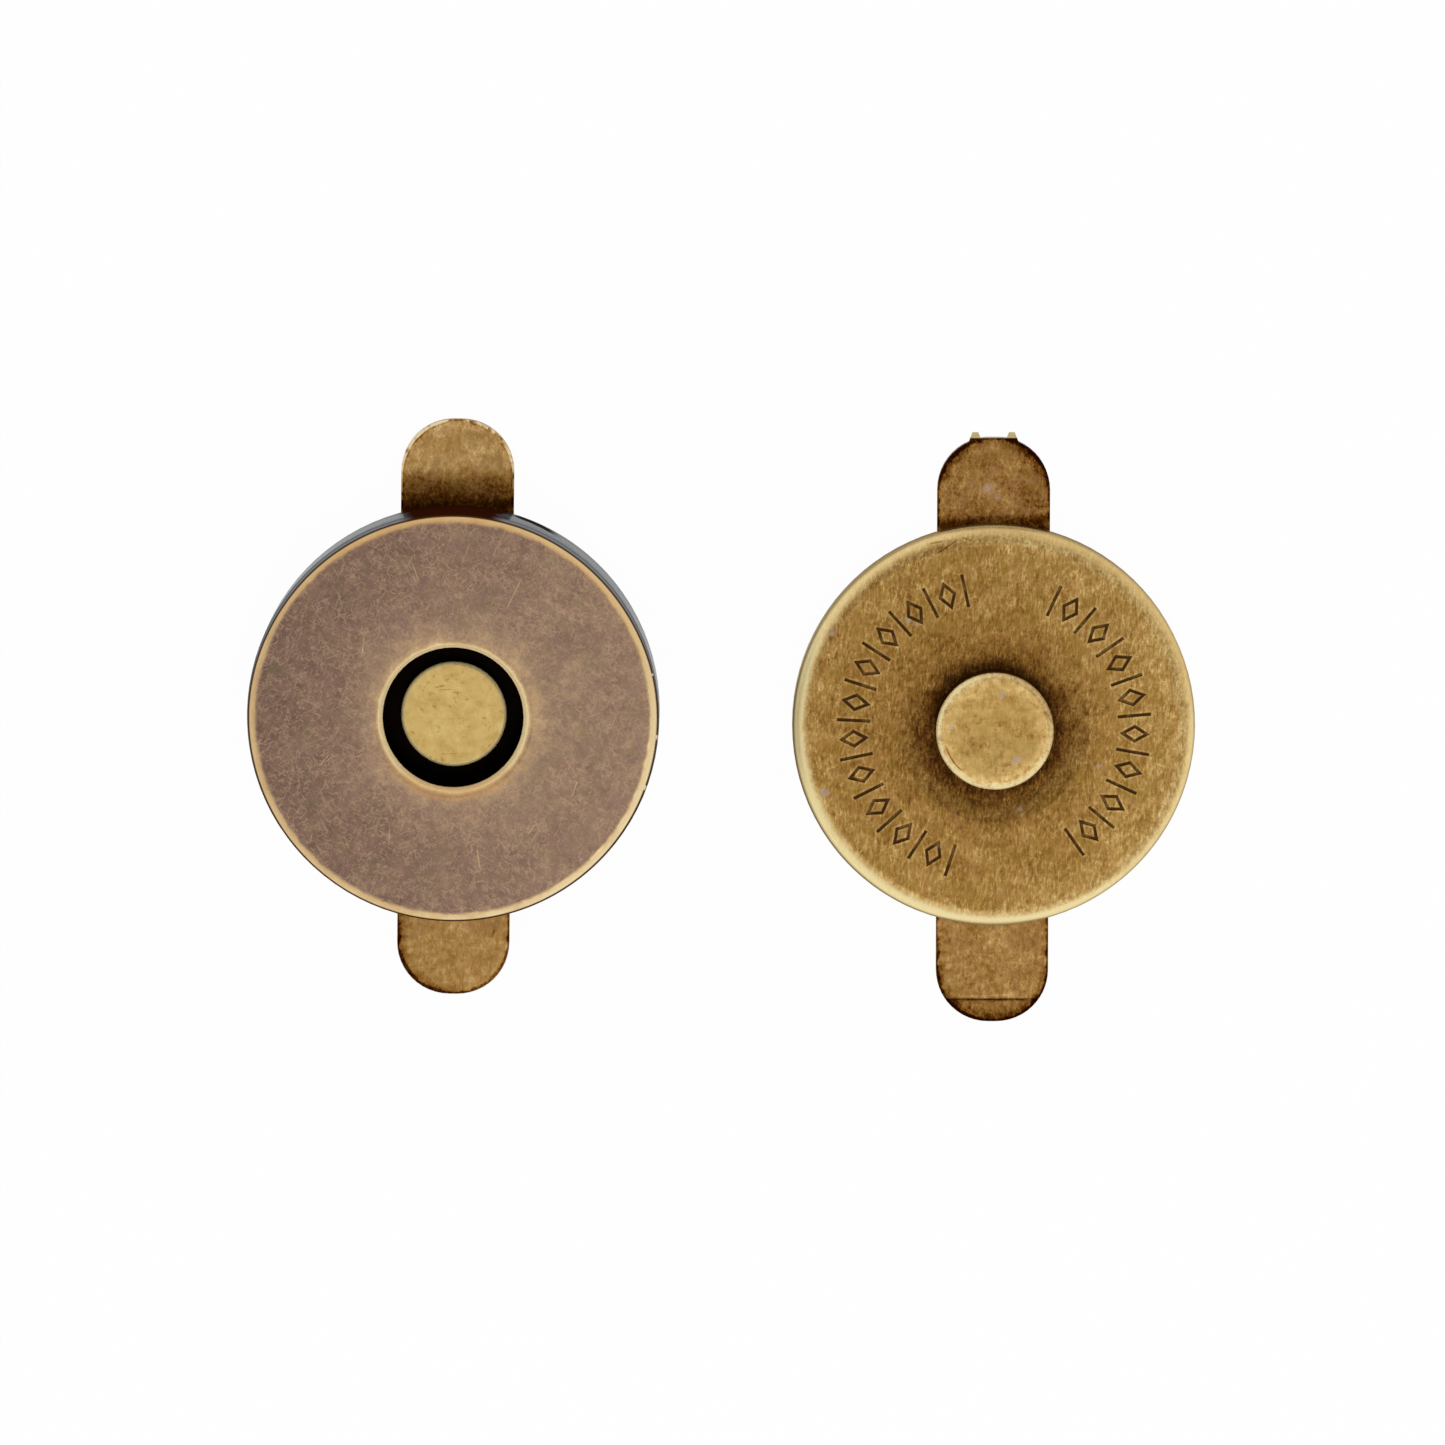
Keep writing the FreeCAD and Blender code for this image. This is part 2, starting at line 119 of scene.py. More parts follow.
# The value that the noises lie about, and how strongly the reliefs show
NOISE_MIDDLE = 0.5
BUMP_STRENGTH = 0.2


class Nodes:
    """Short names for adding nodes to one tree."""

    def __init__(self, tree):
        self.tree = tree

    def node(self, kind, **settings):
        """A new node with these settings."""
        made = self.tree.nodes.new(kind)
        for name, value in settings.items():
            setattr(made, name, value)
        return made

    def feed(self, socket, value):
        """Link another node's output to a socket, or write a number or colour in it."""
        if isinstance(value, bpy.types.NodeSocket):
            self.tree.links.new(value, socket)
        elif socket.type == "VECTOR":
            socket.default_value = value[:3]
        else:
            socket.default_value = value

    def math(self, operation, first, second=0.0):
        """What a Math node makes of one or two values."""
        made = self.node("ShaderNodeMath", operation=operation)
        self.feed(made.inputs[0], first)
        self.feed(made.inputs[1], second)
        return made.outputs[0]

    def add(self, first, second):
        return self.math("ADD", first, second)

    def subtract(self, first, second):
        return self.math("SUBTRACT", first, second)

    def times(self, first, second):
        return self.math("MULTIPLY", first, second)

    def least(self, first, second):
        return self.math("MINIMUM", first, second)

    def most(self, first, second):
        return self.math("MAXIMUM", first, second)

    def size(self, value):
        return self.math("ABSOLUTE", value)

    def length(self, first, second):
        """Length of the arrow that has these two parts."""
        squares = self.add(self.times(first, first), self.times(second, second))
        return self.math("SQRT", squares)

    def fade(self, value, start, end):
        """0 at start, 1 at end and beyond, with a soft turn at both."""
        made = self.node("ShaderNodeMapRange", interpolation_type="SMOOTHSTEP")
        self.feed(made.inputs["Value"], value)
        self.feed(made.inputs["From Min"], start)
        self.feed(made.inputs["From Max"], end)
        return made.outputs["Result"]

    def band(self, value, start, full, fall, end):
        """0 outside start and end, 1 between full and fall."""
        return self.times(self.fade(value, start, full), self.fade(value, end, fall))


class Finish(Nodes):
    """One metal finish: a material, and the patterns that it is made of."""

    def __init__(self, name, axis, turn=0.0):
        self.material = bpy.data.materials.new(name)
        self.material.use_nodes = True
        super().__init__(self.material.node_tree)
        # All of the pieces are metal but the magnet
        self.shader = self.tree.nodes["Principled BSDF"]
        self.shader.inputs["Metallic"].default_value = 1.0
        # Millimetres from the half's own axis, up from the table, turned back by the
        # degrees that the piece is turned by
        spot = self.node("ShaderNodeTexCoord").outputs["Object"]
        place = self.node("ShaderNodeMapping")
        back = math.radians(-turn)
        away = Vector((-axis.x / MM, -axis.y / MM, 0.0))
        away.rotate(Euler((0.0, 0.0, back)))
        self.feed(place.inputs["Vector"], spot)
        self.feed(place.inputs["Location"], away)
        self.feed(place.inputs["Rotation"], (0.0, 0.0, back))
        self.feed(place.inputs["Scale"], (1 / MM, 1 / MM, 1 / MM))
        self.place = place.outputs["Vector"]
        parts = self.node("ShaderNodeSeparateXYZ")
        self.feed(parts.inputs["Vector"], self.place)
        self.x, self.y, self.z = parts.outputs
        self.radius = self.length(self.x, self.y)

    def grain(self, size, detail=3.0, roughness=0.6, place=None, offset=0.0):
        """Cloudy noise about half, with lumps of this size in millimetres."""
        made = self.node("ShaderNodeTexNoise")
        shifted = self.node("ShaderNodeMapping")
        self.feed(shifted.inputs["Vector"], place or self.place)
        self.feed(shifted.inputs["Location"], (offset, 2 * offset, 3 * offset))
        self.feed(made.inputs["Vector"], shifted.outputs["Vector"])
        self.feed(made.inputs["Scale"], 1 / size)
        self.feed(made.inputs["Detail"], detail)
        self.feed(made.inputs["Roughness"], roughness)
        return made.outputs["Fac"]

    def swing(self, noise, depth):
        """A noise moved to lie about 0, times a depth."""
        return self.times(self.subtract(noise, NOISE_MIDDLE), depth)

    def vary(self, noise, depth):
        """A factor about 1 that follows a noise."""
        return self.add(self.swing(noise, depth), 1.0)

    def drawn_out(self, turn, long, wide, detail=1.0, offset=0.0):
        """Noise drawn out along one direction, given in degrees from +X."""
        made = self.node("ShaderNodeMapping", vector_type="TEXTURE")
        self.feed(made.inputs["Vector"], self.place)
        self.feed(made.inputs["Rotation"], (0.0, 0.0, math.radians(turn)))
        self.feed(made.inputs["Scale"], (long, wide, 1.0))
        place = made.outputs["Vector"]
        return self.grain(1.0, detail, 0.5, place, offset)

    def scratches(self, turns, long, wide, least, offset=0.0):
        """Short straight scratches in several directions, 0 to 1."""
        found = 0.0
        for number, turn in enumerate(turns):
            lines = self.drawn_out(turn, long, wide, 1.0, offset + 7 * number)
            found = self.most(found, self.fade(lines, least, least + 0.05))
        return found

    def hairlines(self, size, width, share, offset=0.0):
        """Fine curved scratches with lumps of this size, kept in patches, 0 to 1."""
        line = self.size(self.swing(self.grain(size, 2.0, 0.5, offset=offset), 1.0))
        patch = self.grain(size, 1.0, 0.5, offset=offset + 3.0)
        kept = self.fade(patch, 0.60 - 0.2 * share, 0.66 - 0.2 * share)
        return self.times(self.fade(line, width, 0.25 * width), kept)

    def stroke(self, x, y, turn, long, wide):
        """One straight scratch at a place, at an angle in degrees, 0 to 1."""
        cos = math.cos(math.radians(turn))
        sin = math.sin(math.radians(turn))
        right = self.subtract(self.x, x)
        up = self.subtract(self.y, y)
        along = self.add(self.times(right, cos), self.times(up, sin))
        across = self.subtract(self.times(up, cos), self.times(right, sin))
        ends = self.fade(self.size(along), long / 2, 0.3 * long)
        return self.times(self.fade(self.size(across), wide / 2, 0.1 * wide), ends)

    def strokes(self, places):
        """Single scratches: x, y, angle, length and width of each."""
        found = 0.0
        for place in places:
            found = self.most(found, self.stroke(*place))
        return found

    def blots(self, places, ragged):
        """Small ragged blots: x, y and radius of each; ragged is a noise."""
        found = 0.0
        for x, y, radius in places:
            reach = self.length(self.subtract(self.x, x), self.subtract(self.y, y))
            reach = self.add(reach, self.swing(ragged, 2.4 * radius))
            found = self.most(found, self.fade(reach, 1.1 * radius, 0.5 * radius))
        return found

    def tone(self, base, noises, shifts=()):
        """A tone about its base; each noise and shift comes with how much of it counts.

        A noise swings the tone both ways, and a shift moves it by its own value.
        """
        total = base
        for noise, share in noises:
            total = self.add(total, self.swing(noise, share))
        for value, share in shifts:
            total = self.add(total, self.times(value, share))
        return total

    def ramp(self, tone, stops):
        """The colour of a tone, between stops of place and colour."""
        made = self.node("ShaderNodeValToRGB")
        self.feed(made.inputs["Fac"], tone)
        elements = made.color_ramp.elements
        elements[0].position, elements[0].color = stops[0]
        elements[1].position, elements[1].color = stops[-1]
        for place, colour in stops[1:-1]:
            elements.new(place).color = colour
        return made.outputs["Color"]

    def mix(self, share, first, second):
        """The first colour, turning to the second as the share goes to 1."""
        made = self.node("ShaderNodeMix", data_type="RGBA")
        self.feed(made.inputs[MIX_SHARE], share)
        self.feed(made.inputs[MIX_FIRST], first)
        self.feed(made.inputs[MIX_SECOND], second)
        return made.outputs[MIX_RESULT]

    def patches(self, colour, where, tints):
        """The colour with soft patches of others.

        Each is a tint, the size of its lumps in millimetres and how much it counts.
        """
        for number, (tint, size, share) in enumerate(tints):
            cloudy = self.grain(size, 5.0, 0.65, offset=11.0 + 30.0 * number)
            patch = self.times(self.fade(cloudy, 0.48, 0.64), self.times(where, share))
            colour = self.mix(patch, colour, tint)
        return colour

    def shade(self, colour, factor):
        """A colour made lighter or darker by a factor."""
        made = self.node("ShaderNodeVectorMath", operation="SCALE")
        self.feed(made.inputs[0], colour)
        self.feed(made.inputs["Scale"], factor)
        return made.outputs["Vector"]

    def without_gloss(self):
        """Keep the surface from shining white where it is worn matt."""
        self.shader.inputs["Specular IOR Level"].default_value = 0.0

    def done(self, colour, roughness, height, dull=None):
        """Feed the shader: colour, roughness and, in millimetres, relief.

        Dull is where the surface is worn matt, 0 to 1.
        """
        self.feed(self.shader.inputs["Base Color"], colour)
        if dull is not None:
            self.feed(self.shader.inputs["Metallic"], self.subtract(1.0, dull))
        self.feed(self.shader.inputs["Roughness"], roughness)
        bump = self.node("ShaderNodeBump")
        self.feed(bump.inputs["Strength"], BUMP_STRENGTH)
        self.feed(bump.inputs["Distance"], MM)
        self.feed(bump.inputs["Height"], height)
        self.feed(self.shader.inputs["Normal"], bump.outputs["Normal"])
        return self.material


# Tones of the patinas, from the darkest recess at 0 to worn metal at 1
BRASS_TONES = (
    (0.00, srgb(38, 16, 4)),
    (0.15, srgb(66, 37, 12)),
    (0.30, srgb(101, 66, 25)),
    (0.42, srgb(132, 94, 42)),
    (0.50, srgb(149, 111, 55)),
    (0.58, srgb(166, 130, 72)),
    (0.70, srgb(193, 158, 96)),
    (0.82, srgb(219, 188, 126)),
    (0.92, srgb(238, 211, 150)),
    (1.00, srgb(250, 230, 172)),
)
CASE_TONES = (
    (0.00, srgb(32, 20, 14)),
    (0.20, srgb(86, 64, 52)),
    (0.35, srgb(118, 93, 80)),
    (0.45, srgb(135, 107, 91)),
    (0.57, srgb(155, 126, 104)),
    (0.68, srgb(175, 145, 112)),
    (0.80, srgb(204, 170, 124)),
    (0.92, srgb(231, 197, 145)),
    (1.00, srgb(248, 224, 174)),
)
LEG_TONES = (
    (0.00, srgb(36, 9, 2)),
    (0.15, srgb(67, 32, 5)),
    (0.30, srgb(102, 61, 15)),
    (0.42, srgb(132, 91, 39)),
    (0.50, srgb(149, 108, 55)),
    (0.58, srgb(165, 125, 69)),
    (0.68, srgb(182, 142, 84)),
    (0.80, srgb(205, 169, 112)),
    (1.00, srgb(240, 222, 182)),
)
POLE_TONES = (
    (0.20, srgb(128, 92, 44)),
    (0.40, srgb(184, 150, 84)),
    (0.50, srgb(202, 170, 102)),
    (0.62, srgb(216, 187, 120)),
    (0.80, srgb(236, 212, 154)),
    (1.00, srgb(252, 226, 160)),
)

# Other colours of the finishes
CASE_GREEN = srgb(132, 118, 88)
CASE_MAUVE = srgb(140, 110, 100)
DISC_GREEN = srgb(143, 113, 42)
DISC_PINK = srgb(168, 124, 72)
LEG_GREEN = srgb(132, 102, 42)
LEG_PINK = srgb(156, 110, 76)
PALE_BRASS = srgb(240, 218, 172)
# Painted shade: the dark reflection at the rims' outer edges, and under the case's rim
EDGE_SHADE = srgb(70, 42, 20)
RIM_ORANGE = srgb(222, 164, 92)
FLECK = srgb(198, 168, 138)
# The wall: painted shade at its foot, plain grey, and a painted highlight
WALL_FOOT_SHADE = srgb(74, 77, 82)
WALL_GREY = srgb(122, 125, 129)
WALL_HIGHLIGHT = srgb(158, 161, 166)
# Black of the painted shade in the hole, and of the wall's streak
RECESS = srgb(9, 5, 3)
SHADOW = srgb(48, 18, 4)
LILAC = srgb(174, 152, 138)
OLIVE = srgb(176, 148, 84)
MARK_DARK = srgb(62, 39, 20)
# Painted shade on the stud's side
STUD_SIDE_SHADE = srgb(66, 37, 12)
BURR = srgb(202, 180, 128)
STEEL = srgb(140, 138, 134)
FERRITE = srgb(34, 33, 35)

# How much of its colour the patina keeps at a glancing angle
EDGE_TINT = srgb(150, 150, 150)

# In the finishes, places and heights are millimetres from the half's axis and from the
# table, and tones and shares go from 0 to 1.

# Single scratches and dents: x, y, angle in degrees, length and width
CASE_SCRATCHES = (
    (2.68, 5.46, 64, 1.7, 0.08),
    (-3.9, 3.2, 82, 0.8, 0.07),
    (-5.6, -1.8, 48, 0.7, 0.07),
    (1.1, -6.2, 97, 1.0, 0.07),
    (-1.6, 6.4, 109, 0.9, 0.07),
    (5.3, -3.1, 71, 0.9, 0.06),
    (-4.9, 5.3, 100, 0.7, 0.06),
    (-2.8, -5.2, 88, 0.9, 0.06),
    (3.4, -4.9, 58, 0.6, 0.06),
)
POLE_DENTS = (
    (-0.62, 1.22, 12, 0.5, 0.12),
    (-0.38, 1.08, 4, 0.7, 0.08),
    (0.15, 0.95, 178, 0.5, 0.07),
    (1.55, -0.62, 60, 0.25, 0.09),
    (-0.2, -1.75, 2, 0.9, 0.06),
)
DISC_NICKS = (
    (-2.1, 7.95, 34, 1.3, 0.10),
    (-2.55, 8.15, 12, 0.7, 0.12),
    (-1.2, 8.3, 160, 0.5, 0.08),
    (-3.1, 7.6, 48, 0.6, 0.10),
)
SOCKET_LEG_DENTS = (
    (1.75, -10.05, 70, 0.5, 0.20),
    (-2.2, 12.0, 40, 0.35, 0.16),
    (-0.6, 11.9, 15, 0.6, 0.06),
)
STUD_LEG_DENTS = (
    (-0.35, -10.0, 120, 0.5, 0.12),
    (1.25, -9.95, 88, 0.9, 0.06),
    (-1.2, -11.4, 60, 0.4, 0.08),
    (-0.2, -12.15, 2, 2.6, 0.10),
)

# Small blots: x, y and radius
CASE_CHIPS = ((8.82, -0.84, 0.14), (8.38, -3.10, 0.13), (8.70, 1.9, 0.07))
DISC_LILAC = (
    (-7.1, 4.2, 0.16),
    (-3.8, 4.75, 0.20),
    (-3.4, 4.55, 0.12),
    (-7.45, -2.85, 0.20),
    (1.15, -3.6, 0.13),
    (4.6, -1.7, 0.12),
    (-6.3, 1.25, 0.14),
    (-2.4, -5.3, 0.12),
)
STUD_LILAC = ((0.29, 1.60, 0.20), (-1.95, 0.20, 0.15), (0.96, -1.23, 0.26))
LEG_CROWN = ((0.0, 12.25, 0.30), (-0.3, 10.35, 0.14), (0.1, 10.5, 0.12))
LEG_LILAC = ((-0.25, 10.35, 0.30), (0.15, 10.0, 0.18))


def case_wall(f):
    """Colour of the case's wall, and its painted reflection and streak, 0 to 1.

    It is plain grey, with painted shade at its foot and a painted highlight along its
    middle on the +Y side.
    """
    level = f.node("ShaderNodeMapping")
    f.feed(level.inputs["Vector"], f.place)
    f.feed(level.inputs["Scale"], (0.14, 0.14, 1.6))
    grain = f.grain(1.0, 3.0, 0.5, level.outputs["Vector"])
    upper = f.math("GREATER_THAN", f.y, 0.0)
    height = f.add(f.z, f.swing(grain, 0.8))
    # Painted shade at the foot of the wall
    wall = f.mix(f.fade(height, 1.5, 0.7), WALL_GREY, WALL_FOOT_SHADE)
    # Painted highlight along the wall's middle, on the +Y side
    lighter = f.times(f.band(height, 2.0, 2.5, 2.8, 3.3), f.fade(f.y, -2.0, 3.0))
    wall = f.mix(f.times(lighter, 0.8), wall, WALL_HIGHLIGHT)
    # A black slanted streak to the right of the upper leg, and over the leg a brown
    # painted reflection of the leg
    streak = f.band(f.subtract(height, f.times(f.x, 0.35)), -0.5, 0.0, 0.9, 1.4)
    streak = f.times(f.times(streak, upper), f.band(f.x, 2.3, 2.9, 4.1, 4.9))
    wall = f.mix(f.times(streak, 0.9), wall, RECESS)
    sideways = f.add(f.size(f.x), f.swing(grain, 1.0))
    sideways = f.add(sideways, f.times(f.z, 0.15))
    painted_leg_reflection = f.times(f.fade(sideways, 3.10, 2.30), upper)
    wall = f.mix(painted_leg_reflection, wall, SHADOW)
    # On the -Y side it has painted shade under the rim
    under_rim = f.times(f.fade(f.z, 3.5, 3.9), f.fade(f.y, -1.0, -4.0))
    return f.mix(under_rim, wall, EDGE_SHADE), f.most(painted_leg_reflection, streak)


def case_finish():
    """Mauve-brown patina, worn to brass at the rim and the hole, and a grey wall."""
    f = Finish("case_patina", SOCKET_AXIS)
    wander = f.swing(f.grain(0.7, 4.0), 0.6)
    fine = f.grain(0.13, 1.0)
    mottle = f.grain(0.38, 3.0, offset=2.0)
    cloud = f.grain(1.5, 4.0, offset=4.0)
    flecks = f.most(f.hairlines(0.40, 0.040, 0.6), f.hairlines(0.26, 0.040, 0.4, 19.0))
    flecks = f.most(flecks, f.scratches((22, 67, 118, 152), 0.6, 0.07, 0.66, 31.0))
    lip = f.fade(f.add(f.radius, f.times(wander, 0.25)), HOLE_RADIUS + 0.43, HOLE_RADIUS + 0.11)
    lip = f.times(lip, f.fade(f.radius, HOLE_RADIUS - 0.17, HOLE_RADIUS - 0.07))
    border = f.add(f.radius, f.times(wander, 0.3))
    rim = f.fade(border, CASE_RADIUS - 0.50, CASE_RADIUS - 0.31)
    # Worn metal has less grain than the patina
    worn = f.most(rim, lip)
    grainy = f.subtract(1.0, f.times(worn, 0.8))
    grain = f.tone(0.0, ((fine, 0.30), (mottle, 0.34)))
    tone = f.tone(0.472, ((cloud, 0.26),), (
        (f.times(grain, grainy), 1.0),
        (f.strokes(CASE_SCRATCHES), 0.26),
        # Painted light: lighter toward +X
        (f.x, 0.010),
        (f.fade(f.radius, 7.2, 3.4), 0.09),
        (f.fade(f.add(f.radius, wander), 4.6, 3.3), 0.11),
        (lip, 0.40),
        (rim, 0.48),
    ))
    colour = f.ramp(tone, CASE_TONES)
    colour = f.mix(f.times(f.times(flecks, grainy), 0.38), colour, FLECK)
    # The upper rim and the lower part of the lip are more orange than the rest
    warm_rim = f.times(f.fade(f.add(f.y, f.times(f.x, 0.3)), 1.0, 8.0),
                       f.fade(border, CASE_RADIUS - 0.50, CASE_RADIUS - 0.34))
    warm_lip = f.times(f.fade(f.y, -1.2, -3.2), f.fade(f.radius, 3.8, 3.3))
    colour = f.mix(f.times(f.most(warm_rim, warm_lip), 0.42), colour, RIM_ORANGE)
    colour = f.patches(colour, f.band(f.radius, 3.5, 4.2, 8.2, 8.5), (
        (CASE_GREEN, 0.9, 0.30),
        (CASE_MAUVE, 1.1, 0.36),
    ))
    # Beyond the rim come a dark line, a painted dark reflection, and the wall, a little
    # further in at the top
    edge_place = f.add(f.radius, f.times(f.fade(f.y, 0.0, 6.0), 0.07))
    colour = f.mix(f.fade(edge_place, CASE_RADIUS - 0.14, CASE_RADIUS - 0.08), colour, EDGE_SHADE)
    wall_place = f.fade(edge_place, CASE_RADIUS - 0.06, CASE_RADIUS - 0.02)
    wall, painted_reflection_and_streak = case_wall(f)
    colour = f.mix(wall_place, colour, wall)
    chips = f.times(f.blots(CASE_CHIPS, fine), f.fade(f.z, CASE_TOP - 0.35, CASE_TOP - 0.25))
    colour = f.mix(chips, colour, PALE_BRASS)
    # Inside the hole is painted shade, almost black
    deep = f.fade(f.z, CASE_TOP - 0.32, CASE_TOP - 0.48)
    colour = f.mix(f.times(deep, f.fade(f.radius, 4.2, 3.8)), colour, RECESS)
    rough = f.subtract(f.add(f.times(fine, 0.2), 0.38), f.times(worn, 0.08))
    rough = f.subtract(rough, f.times(wall_place, 0.24))
    relief = f.add(f.times(mottle, 0.010), f.times(flecks, -0.004))
    relief = f.times(relief, f.subtract(1.0, wall_place))
    # The rim, the turn into the hole, the dark line, and the wall's painted reflection
    # and streak are matt
    steep = f.band(f.radius, HOLE_RADIUS - 0.17, HOLE_RADIUS - 0.07, HOLE_RADIUS + 0.05,
                   HOLE_RADIUS + 0.23)
    matt = f.most(f.times(steep, f.subtract(0.9, f.times(deep, 0.9))), f.times(rim, 0.3))
    line = f.fade(edge_place, CASE_RADIUS - 0.01, CASE_RADIUS - 0.05)
    beyond = f.fade(edge_place, CASE_RADIUS - 0.16, CASE_RADIUS - 0.08)
    matt = f.most(matt, f.times(beyond, f.most(painted_reflection_and_streak, line)))
    f.without_gloss()
    f.shader.inputs["Specular Tint"].default_value = EDGE_TINT
    return f.done(colour, rough, relief, matt)


def pole_finish():
    """Flat pale brass with a few dark specks; its sides are black with painted shade."""
    f = Finish("pole_brass", SOCKET_AXIS)
    fine = f.grain(0.14, 2.0)
    specks = f.fade(f.grain(0.24, 2.0, offset=9.0), 0.62, 0.70)
    side = f.fade(f.z, POLE_TOP - 0.14, POLE_TOP - 0.20)
    edge = f.times(f.fade(f.radius, POLE_RADIUS - 0.19, POLE_RADIUS - 0.09),
                   f.subtract(1.0, side))
    noises = (
        (fine, 0.30),
        (f.grain(0.4, 3.0), 0.35),
        (f.grain(0.9, 3.0, offset=5.0), 0.25),
    )
    tone = f.tone(0.54, noises, (
        (specks, -0.14),
        (f.strokes(POLE_DENTS), -0.16),
        (edge, 0.34),
    ))
    # The pole's sides are painted black for the shade in the hole
    colour = f.mix(side, f.ramp(tone, POLE_TONES), RECESS)
    f.without_gloss()
    return f.done(colour, f.add(f.times(fine, 0.2), 0.36), f.times(fine, 0.006),
                  f.times(edge, 0.9))


def mark_distance(f, first, count):
    """How far a spot is from the middle of the nearest of an arc's marks.

    Gives the distances along the arc and along the radius, in millimetres, and
    1 where the arc has marks.
    """
    pitch = math.radians(MARK_PITCH)
    angle = f.math("ARCTAN2", f.y, f.x)
    turned = f.subtract(angle, math.radians(first) - pitch / 2)
    whole = f.math("FLOORED_MODULO", turned, 2 * math.pi)
    within = f.math("LESS_THAN", whole, pitch * count)
    local = f.subtract(f.math("FLOORED_MODULO", whole, pitch), pitch / 2)
    across = f.size(f.times(f.radius, f.math("SINE", local)))
    along = f.size(f.subtract(f.times(f.radius, f.math("COSINE", local)), MARK_RADIUS))
    return across, along, within


# Stands for no stamped line near, in millimetres
FAR = 9.0


def stamped(f):
    """Distance in millimetres from the edge of the nearest stamped line, under 0 within."""
    half_line = MARK_WIDTH / 2
    long = LOZENGE_LENGTH / 2
    wide = LOZENGE_WIDTH / 2
    lean = 1 / math.hypot(1 / long, 1 / wide)
    nearest = FAR
    for first, count in MARK_ARCS:
        across, along, within = mark_distance(f, first, count)
        tick = f.most(f.subtract(across, half_line), f.subtract(along, TICK_LENGTH / 2))
        tick = f.add(tick, f.times(f.subtract(1.0, within), FAR))
        nearest = f.least(nearest, tick)
        # The lozenges lie between the ticks, each a line just inside its outline
        across, along, within = mark_distance(f, first + MARK_PITCH / 2, count - 1)
        outside = f.add(f.times(across, 1 / wide), f.times(along, 1 / long))
        outside = f.times(f.subtract(outside, 1.0), lean)
        ring = f.subtract(f.size(f.add(outside, half_line)), half_line)
        ring = f.add(ring, f.times(f.subtract(1.0, within), FAR))
        nearest = f.least(nearest, ring)
    return nearest


